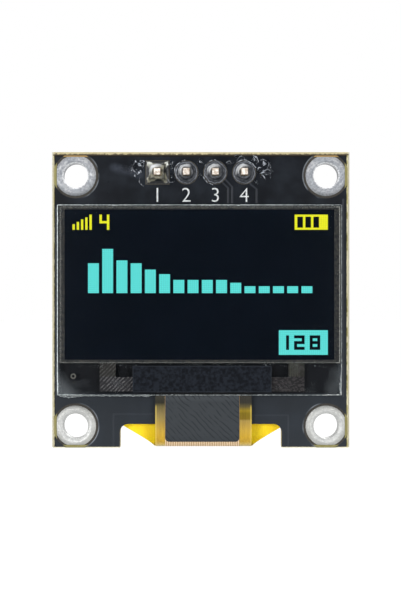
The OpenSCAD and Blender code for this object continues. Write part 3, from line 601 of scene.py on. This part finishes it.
def chip_size(spot):
    """How far the front edge is spalled away beside a spot on the glass's outline."""
    ragged = noise.noise(spot * 1.7) * 0.5 + noise.noise(spot * 6 + Vector((9, 0, 0))) * 0.5
    size = 0.08 + 0.12 * max(0, ragged - 0.15)
    near_bottom = spot.z < glass_low.z + 1.2
    left, right = spot.x - glass_low.x, glass_high.x - spot.x
    left_reach, right_reach = 3.5, 1.8
    if near_bottom and left < left_reach:
        size += 0.09 * (0.5 + ragged) * (1 - left / left_reach)
    if left < 0.1:
        size += 0.04
    if near_bottom and right < right_reach:
        size += 0.07 * (0.6 + 1.5 * ragged) * (1 - right / right_reach)
    if right < 0.1 and spot.z < -6:
        size += 0.1 * min(1, (-6 - spot.z) / 0.7)
    return size


def hold_in(spot, inset):
    """Keeps a corner of the mesh a distance inside the glass's outline."""
    spot.x = min(max(spot.x, glass_low.x + inset), glass_high.x - inset)
    spot.z = min(max(spot.z, glass_low.z + inset), glass_high.z - inset)


def slant(x):
    """How far the lower rim runs out below the outline at the back, left of the ribbon."""
    ragged = noise.noise(Vector((x * 5.5, 3, 0))) * 0.5 + noise.noise(Vector((x * 14, 7, 0))) * 0.5
    spalled = max(0, 1 - abs(x + 11.4) / 1.2)
    lump = max(0, 1 - abs(x + 4.75) / 0.4)
    inside = min(1, max(0, x + 12.4) / 0.2) * min(1, max(0, -4.2 - x) / 0.2)
    return inside * max(0, 0.1 + 0.12 * spalled + 0.06 * lump + 0.12 * ragged)


skin_gap = 0.003  # keeps the glass's faces off those bonded to it
chip_spacing = 0.11  # from one corner of the mesh to the next along the rim
middle, size = (glass_low + glass_high) / 2, glass_high - glass_low
pane = bmesh.new()
bmesh.ops.create_grid(pane, x_segments=1, y_segments=1, size=0.5)
bmesh.ops.scale(pane, verts=pane.verts, vec=(size.x, size.z, 1))
bmesh.ops.rotate(pane, verts=pane.verts, matrix=Matrix.Rotation(math.pi / 2, 3, "X"))
bmesh.ops.translate(pane, verts=pane.verts, vec=(middle.x, glass_high.y - skin_gap, middle.z))
for side in pane.edges[:]:
    bmesh.ops.subdivide_edges(pane, edges=[side], cuts=round(side.calc_length() / chip_spacing))
grown = bmesh.ops.extrude_face_region(pane, geom=pane.faces[:])["geom"]
face = next(g for g in grown if isinstance(g, bmesh.types.BMFace))
bmesh.ops.translate(pane, verts=face.verts, vec=(0, 2 * skin_gap - size.y, 0))
rim_faces = bmesh.ops.inset_region(pane, faces=[face], thickness=0.01)["faces"]
for v in {v for f in rim_faces for v in f.verts} - set(face.verts):
    chip = chip_size(v.co)
    v.co.y += chip
    hold_in(v.co, chip * 0.3)
for v in face.verts:
    hold_in(v.co, chip_size(v.co))
for v in pane.verts:
    if v.co.y > glass_high.y - 2 * skin_gap and v.co.z < glass_low.z + skin_gap:
        v.co.z -= slant(v.co.x)
for f in pane.faces:
    f.material_index = 0 if len(f.verts) > 4 else 1

front = Finish("clear_glass")
ledge_z = measure("rear_glass")[0].z
ledge = 1 - front.z.step(ledge_z - 0.05, ledge_z)
near_face = 1 - front.y.step(glass_low.y + 0.01, glass_low.y + 0.02)
corner_haze = (-1 * front.x - front.z).step(17.9, 19.9) * 0.24
side_haze = 1 - run(front, (12.0, -6.4), (11.6, -7.6)).step(0.0, 1.1)
side_haze = side_haze * front.grain(1.3, 3) * 0.22
smears = front.grain(0.7, 4, stretch=(1, 1, 1.8), shift=21).step(0.5, 0.8) * 0.03
swept = front.grain(0.5, 2, shift=4).step(0.42, 0.56)
dust = front.grain(7, 2, shift=33).step(0.64, 0.7) * swept
dust = dust * front.z.band(ledge_z - 0.32, ledge_z - 0.1, 0.08) * 0.6
smears = smears.largest(corner_haze).largest(side_haze).largest(dust) * ledge
front.surface(Base_Color=front.mix(front.grain(0.4), paint("#8f979c"), paint("#9aa1a6")),
              Metallic=1 - smears.step(0.0, 0.02), Roughness=0.04)
clear(front, smears * near_face, ledge * near_face)

snapped = Finish("snapped_glass")
# The rim's colour is painted light: a painted highlight along the chipped rim, greyer to the right and
# dimmer along the bottom, painted shade under the slanting lower rim, and brighter painted glints at the
# lower right corner.
ripple = snapped.grain(5, 3, shift=13).step(0.3, 0.7)
glint = snapped.mix(ripple, paint("#b0bcbe"), paint("#f2fbfb"))
glint = snapped.mix(snapped.x.step(4, 12), glint,
                    snapped.mix(ripple, paint("#70797c"), paint("#c5cdce")))
lower = 1 - snapped.z.step(glass_low.z + 0.15, glass_low.z + 0.4)
glint = snapped.mix(lower * 0.75, glint, snapped.mix(ripple, paint("#4f575b"), paint("#abb3b5")))
run_out = 1 - snapped.z.step(glass_low.z - 0.03, glass_low.z)
rear_rim = snapped.y.step(glass_high.y - 0.2, glass_high.y - 0.12)
glint = snapped.mix(run_out * (1 - rear_rim), glint, paint("#23272b"))
glint = snapped.mix(run_out * rear_rim, glint, snapped.mix(ripple, paint("#6f777b"),
                                                           paint("#c3cacd")))
corner_glints = lower * snapped.x.step(10.3, 10.9) * (1 - run_out)
glint = snapped.mix(corner_glints * 0.8, glint, snapped.mix(ripple, paint("#8d979a"), paint("#f4f8f8")))
snapped.surface(Base_Color=glint, Roughness=0.3 + ripple * 0.2)
snapped.emboss(snapped.grain(7, 3), 0.04)
on_left = 1 - snapped.x.step(glass_low.x + 0.2, glass_low.x + 0.3)
clear(snapped, 0.7 + ripple * 0.25 + on_left * 0.2, 1)
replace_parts(place(pane, "front_pane", "front_glass", front, snapped), "front_glass")

rear = Finish("rear_glass")
rear_low, rear_high = measure("rear_glass")
edge = 1 - rim_distance(rear, rear_low, rear_high).step(0.05, 0.1)
edge_grain = rear.grain(4, 3, stretch=(1, 0.4, 1))
rear.surface(Base_Color=rear.mix(edge_grain, paint("#5e7474"), paint("#a9bcba")),
             Roughness=0.25 + edge_grain * 0.2)
rear.emboss(edge_grain, 0.03)
clear(rear, edge * 0.85, 0)
rear.dress("rear_glass")

chalk = Finish("drying_sheet")
chalk.surface(Base_Color=chalk.mix(chalk.grain(5), paint("#dcdcd8"), paint("#f0f0ec")),
              Roughness=0.9)
chalk.emboss(chalk.grain(12), 0.02)
chalk.dress("drying_sheet")

bead = Finish("sealing_bead")
mottle = bead.grain(3.5, 4).step(0.35, 0.7)
specks = bead.grain(11, 2, shift=7).step(0.66, 0.74)
cement = bead.mix(mottle, paint("#303336"), paint("#4a4946"))
bead.surface(Base_Color=bead.mix(specks * 0.6, cement, paint("#8d8a82")), Roughness=0.5,
             Specular_IOR_Level=0.05)
bead.emboss(mottle, 0.01)
bead.dress("sealing_bead")


# ---- Lit picture ----
# Organic layers printed on the glass in rows of tiny cells: sky blue over most of the window and
# yellow in the top rows. Unlit cells are as dark as the film behind them.

film = Finish("electrode_film")
cloud = film.grain(0.25, 2).step(0.3, 0.7)
film.surface(Base_Color=film.mix(cloud, paint("#0c131c"), paint("#0e151f")), Roughness=0.12,
             Specular_IOR_Level=0.1)
film.dress("electrode_film")
cell_pitch = 0.17


def lit(name, colour, dim):
    """Glowing cells, with a hair of darkness between them."""
    finish = Finish(name)
    rows = finish.z.wave(cell_pitch).step(0.0, 0.2)
    columns = finish.x.wave(cell_pitch).step(0.0, 0.2)
    glow = finish.mix(rows * columns, dim, colour)
    finish.surface(Base_Color=paint("#050607"), Roughness=0.4, Specular_IOR_Level=0.1,
                   Emission_Color=glow, Emission_Strength=1)
    return finish


blue = lit("blue_cells", paint("#5fe6e0"), paint("#52cfca"))
blue.dress("blue_cells")
yellow = lit("yellow_cells", paint("#f4f41f"), paint("#dede1c"))
yellow.dress("yellow_cells")

digits = {  # each numeral in lit cells, top row first
    "1": ["..#", "..#", "..#", "..#", "..#"],
    "2": ["###", "..#", "###", "#..", "###"],
    "4": ["#.#", "#.#", "###", "..#", "..#"],
    "8": ["###", "#.#", "###", "#.#", "###"],
}


def segments(text, left, bottom, width, height, stroke, step, back, thickness):
    """Numerals made of straight strokes, standing on a plane inside the panel."""
    columns = [0, stroke, width - stroke, width]
    rows = [0, stroke, (height - stroke) / 2, (height + stroke) / 2, height - stroke, height]
    shapes = []
    for i, digit in enumerate(text):
        shape = bmesh.new()
        bmesh.ops.create_grid(shape, x_segments=3, y_segments=5, size=0.5)
        spots = [(f, f.calc_center_median()) for f in shape.faces]
        bmesh.ops.delete(shape, context="FACES", geom=[
            f for f, at in spots
            if digits[digit][int((0.5 - at.y) * 5)][int((at.x + 0.5) * 3)] == "."])
        for v in shape.verts:
            v.co = (left + i * step + columns[round((v.co.x + 0.5) * 3)], back,
                    bottom + rows[round((v.co.y + 0.5) * 5)])
        grown = bmesh.ops.extrude_face_region(shape, geom=shape.faces[:])["geom"]
        bmesh.ops.translate(shape, vec=(0, -thickness, 0),
                            verts=[g for g in grown if isinstance(g, bmesh.types.BMVert)])
        shapes.append(shape)
    return gather(shapes)


cells_low, cells_high = measure("blue_cells")
signal_low = measure("yellow_cells")[0]
place(segments("4", signal_low.x + 2.35, signal_low.z, width=0.86, height=1.32, stroke=0.21,
               step=0, back=cells_high.y, thickness=0.019), "lit_numeral", "yellow_cells", yellow)
place(segments("128", cells_high.x - 4.3, cells_low.z + 0.44, width=0.92, height=1.26,
               stroke=0.26, step=1.36, back=cells_low.y + 0.001, thickness=0.0025),
      "plate_numerals", "electrode_film", film)


# ---- Ledge ----
# The front glass runs on below the rear one. Thin metal contacts and an alignment ring are
# printed behind it, the bare silicon driver is bonded there, and black tape shades it in front.

contact = Finish("contact_metal")
contact_low, contact_high = measure("contact_metal")
on_right = contact.x.step(0, 1)
hatch = ((contact.x - contact.z + contact.grain(1, 2) * 0.2) * 17).sine().step(-0.1, 0.7)
crazed = contact.grain(4.5, 4, stretch=(1, 1, 1.6), shift=3).step(0.46, 0.58)
worn = contact.grain(2.0, 4).step(0.3, 0.6) * contact.grain(6, 4, shift=8).step(0.3, 0.6)
pattern = hatch * worn * (1 - on_right) + crazed * on_right * 0.6
grey = contact.mix(pattern, contact.mix(on_right, paint("#26262a"), paint("#211f22")),
                   contact.mix(on_right, paint("#6a696b"), paint("#454344")))
arm = contact.z.step(contact_high.z - 1.22, contact_high.z - 1.18)
grey = contact.mix(arm * 0.6, grey, paint("#292922"))
combs = contact.x.wave(math.tau / 30) * contact.x.band(7.6, 8.6, 0.02) * arm
grey = contact.mix(combs, grey, paint("#3d3e36"))
ring_light = 1 - contact.x.step(contact_low.x + 1, contact_low.x + 1.1)
grey = contact.mix(ring_light, grey, paint("#62615c"))
contact.surface(Base_Color=grey, Roughness=0.4, Specular_IOR_Level=0.15)
contact.emboss(hatch, 0.01)
contact.dress("contact_metal")

silicon = Finish("driver_silicon")
silicon.surface(Base_Color=silicon.mix(silicon.grain(3), paint("#2b3038"), paint("#454d59")),
                Metallic=0.6, Roughness=0.18 + silicon.grain(8) * 0.1)
silicon.dress("driver_chip")

shade = Finish("light_shield")
shade_low, shade_high = measure("light_shield")
lip = 1 - rim_distance(shade, shade_low, shade_high).step(0.04, 0.12)
tape = shade.mix(shade.grain(4, 4).step(0.35, 0.65), paint("#0d1015"), paint("#1c2027"))
shade.surface(Base_Color=shade.mix(lip * 0.5, tape, paint("#2c3036")),
              Roughness=0.55 + shade.grain(5) * 0.2, Specular_IOR_Level=0.05)
shade.emboss(shade.grain(6, 3), 0.02)
shade.dress("light_shield")


# ---- Polarizer ----
# A dark plastic film, laminated to the front glass over the picture so that the room doesn't
# wash it out. Its cut edge catches light.

sheet = Finish("polarizer")
sheet_low, sheet_high = measure("polarizer")
left_inset = 0.13  # the bright edge on the left lies this far in
inward = rim_distance(sheet, sheet_low + Vector((left_inset, 0, 0)), sheet_high)
cut = (inward - sheet.grain(3, 3) * 0.05).band(-0.04, 0.03, 0.04)
sheet_face = 1 - sheet.y.step(sheet_low.y + 0.002, sheet_low.y + 0.01)
sawn = sheet.mix(sheet.grain(4, 3, shift=5), paint("#4b4f4c"), paint("#9a9f99"))
sheet.surface(Base_Color=sheet.mix(cut, paint("#ffffff"), sawn), Metallic=1 - cut,
              Roughness=0.06 + cut * 0.4)
clear(sheet, cut * (0.16 + sheet.x.step(11.6, 11.9) * 0.4), sheet_face)
sheet.dress("polarizer")


# ---- Ribbon ----
# Amber polyimide film with copper tracks. It is bonded under the ledge, folds through the notch
# and flares out behind the board, where its fingers are soldered down. A dark slip of film is
# glued over its neck in front.

ribbon = Finish("amber_polyimide")
tracks = ribbon.x.wave(0.155).step(0.35, 0.7)
flex_low, flex_high = measure("flex_circuit")
from_middle = ribbon.x - (flex_low.x + flex_high.x) / 2
cover_low, cover_high = measure("flex_cover")
under_cover = ribbon.x.band(cover_low.x, cover_high.x, 0.05)
on_front = 1 - ribbon.y.step(0.3, 0.9)
amber = ribbon.mix(ribbon.grain(1.2, 3).step(0.3, 0.7), paint("#fbd622"), paint("#ffe326"))
fine = ribbon.grain(9, 2, stretch=(1, 1, 0.05)).step(0.35, 0.65)
up = ribbon.z - flex_low.z
# Both strips are painted darker towards the top, near the glass: painted shadow of the glass.
low_stops = [(0.05, "#d2c49c"), (0.24, "#d4b766"), (0.5, "#c9a13a"), (0.94, "#cfa736"),
             (1.47, "#c9a540"), (1.99, "#b79745")]
left_strip = ribbon.ramp(up, *low_stops, (2.52, "#9f8b4f"), (3.05, "#8a784b"),
                         (3.57, "#6f643d"), (3.92, "#2b2a22"), (4.5, "#3a3932"))
right_strip = ribbon.ramp(up, *low_stops, (2.34, "#a98f49"), (2.5, "#80691a"),
                          (3.0, "#7f6b14"), (3.22, "#98801e"), (3.57, "#5f5530"),
                          (3.92, "#33322c"), (4.5, "#34332f"))
strip = ribbon.mix(ribbon.x.step(0, 1), left_strip, right_strip)
strip = ribbon.mix(0.14 + fine * 0.12, strip, paint("#1d1708"))
edge_glow = abs(from_middle).step(4.02, 4.12) * (1 - up.step(3.5, 3.8))
strip = ribbon.mix(edge_glow * 0.35, strip, paint("#e8cd62"))
flare = (up * 1.25 + 4.2).smallest(flex_high.x)
fan = (from_middle / flare).wave(2 / 30).step(0.3, 0.7)  # thirty tracks over the whole width
outer_face = ribbon.y.step(flex_high.y - 0.05, flex_high.y - 0.02)
amber = ribbon.mix(fan * outer_face * 0.45, amber, paint("#c18a17"))
amber = ribbon.mix(on_front, amber, strip)
copper = ribbon.mix(tracks, paint("#a8855c"), paint("#e3cbab"))
amber = ribbon.mix(under_cover * on_front, amber, copper)
behind_glass = ribbon.z.step(glass_low.z - 0.06, glass_low.z)
ribbon.surface(Base_Color=ribbon.mix(behind_glass, amber, paint("#17191c")),
               Roughness=0.3 + ribbon.grain(5) * 0.15, Specular_IOR_Level=0.12)
ribbon.emboss(tracks, 0.012)
ribbon.dress("flex_circuit")

patch = Finish("cover_patch")
lay = ((patch.x + patch.z + patch.grain(0.6, 1) * 0.9) * (2 * math.pi / 0.52)).sine()
threads = lay.step(0.6, 0.95) * patch.grain(1.1, 2, shift=31).step(0.36, 0.56)
# Lighter near its top: painted light where the patch curves up towards the glass.
slate = patch.mix(patch.z.step(cover_high.z - 0.65, cover_high.z - 0.25), paint("#33373b"), paint("#3c4044"))
patch.surface(Base_Color=patch.mix(threads * 0.7, slate, paint("#1f2326")),
              Roughness=0.5 + patch.grain(4) * 0.15, Specular_IOR_Level=0.12)
patch.emboss(threads, 0.012)
patch.dress("flex_cover")


# ---- Back parts ----
# Chip capacitors and resistors, a regulator and a diode, pushed into paste and melted down.
# Their metal ends and leads are tinned.

def ends(finish, low, high, upright, reach):
    """1 on the metal that reaches in from both ends of a part."""
    middle, half = (low + high) / 2, (high - low) / 2
    along, half = (finish.z - middle.z, half.z) if upright else (finish.x - middle.x, half.x)
    return abs(along).step(half - reach - 0.01, half - reach + 0.01)


def chip_ends(finish, name):
    """1 on the metal ends of a chip part, which lies along its longer side."""
    low, high = measure(name)
    return ends(finish, low, high, high.z - low.z > high.x - low.x, 0.37)


for i in chip_numbers:
    ceramic = Finish("capacitor_ceramic")
    metal = chip_ends(ceramic, f"capacitor_{i}")
    speckle = ceramic.grain(6, 3, shift=i)
    body = ceramic.mix(speckle, paint("#8f6a45"), paint("#b18a60"))
    ceramic.surface(Base_Color=ceramic.mix(metal, body, paint("#c6c8ca")), Metallic=metal * 0.9,
                    Roughness=0.38 + speckle * 0.15)
    ceramic.emboss(speckle, 0.01)
    ceramic.dress(f"capacitor_{i}")

    glaze = Finish("resistor_glaze")
    metal = chip_ends(glaze, f"resistor_{i}")
    top_y = measure(f"resistor_{i}")[1].y
    top = glaze.y.step(top_y - 0.06, top_y - 0.03)
    speckle = glaze.grain(6, 3, shift=i)
    body = glaze.mix(top, glaze.mix(speckle, paint("#cfd0cd"), paint("#e6e6e2")),
                     glaze.mix(speckle, paint("#17181a"), paint("#232427")))
    glaze.surface(Base_Color=glaze.mix(metal, body, paint("#c6c8ca")), Metallic=metal * 0.9,
                  Roughness=0.32 + speckle * 0.15)
    glaze.emboss(speckle, 0.01)
    glaze.dress(f"resistor_{i}")

for name, upright in [("regulator", True), ("diode", False)]:
    resin = Finish("moulded_resin")
    lead = ends(resin, *measure(name), upright, 0.55)
    pitted = resin.grain(9, 3)
    body = resin.mix(pitted, paint("#1b1c1e"), paint("#2a2b2e"))
    resin.surface(Base_Color=resin.mix(lead, body, paint("#c4c6c8")),
                  Metallic=lead * 0.9, Roughness=0.55 - lead * 0.2 + pitted * 0.1)
    resin.emboss(pitted, 0.015)
    resin.dress(name)


# ---- Studio ----
# A pale sweep of paper under soft light, with a dark card round the lens so that the glass
# doesn't mirror the room.

def scenery(shape, name, finish):
    """Makes a shape drawn in metres a thing of the studio."""
    data = bpy.data.meshes.new(name)
    shape.to_mesh(data)
    shape.free()
    data.materials.append(finish.material)
    thing = bpy.data.objects.new(name, data)
    bpy.context.scene.collection.objects.link(thing)
    return thing


def in_sight(finish):
    """1 where a thing is seen, in a mirror or through glass too, and 0 where it gives light."""
    return reduce(Field.largest, [finish.add("ShaderNodeLightPath", {}, out=ray) for ray in
                                  ("Is Camera Ray", "Is Glossy Ray", "Is Transmission Ray")])


paper = Finish("paper")
paper.surface(Base_Color=paper.mix(paper.grain(0.4), paint("#f3f3f1"), paint("#f7f7f5")),
              Roughness=0.9)
white = paper.add("ShaderNodeEmission", {}, (1, 1, 1, 1), 1.12)
sweep = paper.add("ShaderNodeMixShader", {}, in_sight(paper) * 0.85,
                  Field(paper, paper.shader.outputs[0]), white)
paper.tree.links.new(sweep.socket, paper.tree.nodes["Material Output"].inputs["Surface"])
floor_shape = bmesh.new()
bmesh.ops.create_grid(floor_shape, x_segments=1, y_segments=1, size=1.5)
bmesh.ops.translate(floor_shape, verts=floor_shape.verts, vec=(0, 0, -0.03))
floor = scenery(floor_shape, "floor", paper)

felt = Finish("black_felt")
felt.surface(Base_Color=felt.mix(felt.grain(0.2), paint("#0a0a0b"), paint("#111112")), Roughness=1)
card_shape = bmesh.new()
bmesh.ops.create_grid(card_shape, x_segments=1, y_segments=1, size=0.03,
                      matrix=Matrix.Rotation(-math.pi / 2, 4, "X"))
bmesh.ops.translate(card_shape, verts=card_shape.verts, vec=(0, -0.12, 0))
card = scenery(card_shape, "dark_card", felt)
card.visible_camera = card.visible_diffuse = card.visible_shadow = False


class Surround(Finish):
    """The world's light, worked out with the same nodes as a finish."""

    def __init__(self):
        world = bpy.data.worlds.new("studio")
        bpy.context.scene.world = world
        world.use_nodes = True
        self.tree = world.node_tree


air = Surround()
sky = air.tree.nodes["Background"].inputs
air.feed(sky["Strength"], in_sight(air).largest(0.45))
air.feed(sky["Color"], (1, 1, 1, 1))


def lamp(name, spot, power, size):
    """A square soft light that faces the module."""
    light = bpy.data.lights.new(name, "AREA")
    light.energy, light.size = power, size
    holder = bpy.data.objects.new(name, light)
    holder.location = spot
    holder.rotation_euler = (-Vector(spot)).to_track_quat("-Z", "Y").to_euler()
    bpy.context.scene.collection.objects.link(holder)


lamp("left_softbox", (-0.13, -0.3, 0.03), power=0.42, size=0.1)
lamp("right_softbox", (0.13, -0.3, 0.02), power=0.3, size=0.1)
lamp("top_softbox", (-0.02, -0.14, 0.22), power=0.16, size=0.12)
lamp("back_softbox", (0.1, 0.25, 0.16), power=0.5, size=0.15)

lens = bpy.data.cameras.new("lens")
lens.lens, lens.sensor_width = 72.3, 36
lens.clip_start, lens.clip_end = 0.01, 10
camera = bpy.data.objects.new("camera", lens)
camera.location = (-0.000026, -0.106, 0.000026)  # in metres
camera.rotation_euler = (math.pi / 2, 0, 0)
bpy.context.scene.collection.objects.link(camera)
bpy.context.scene.camera = camera
bpy.context.scene.view_settings.view_transform = "Standard"
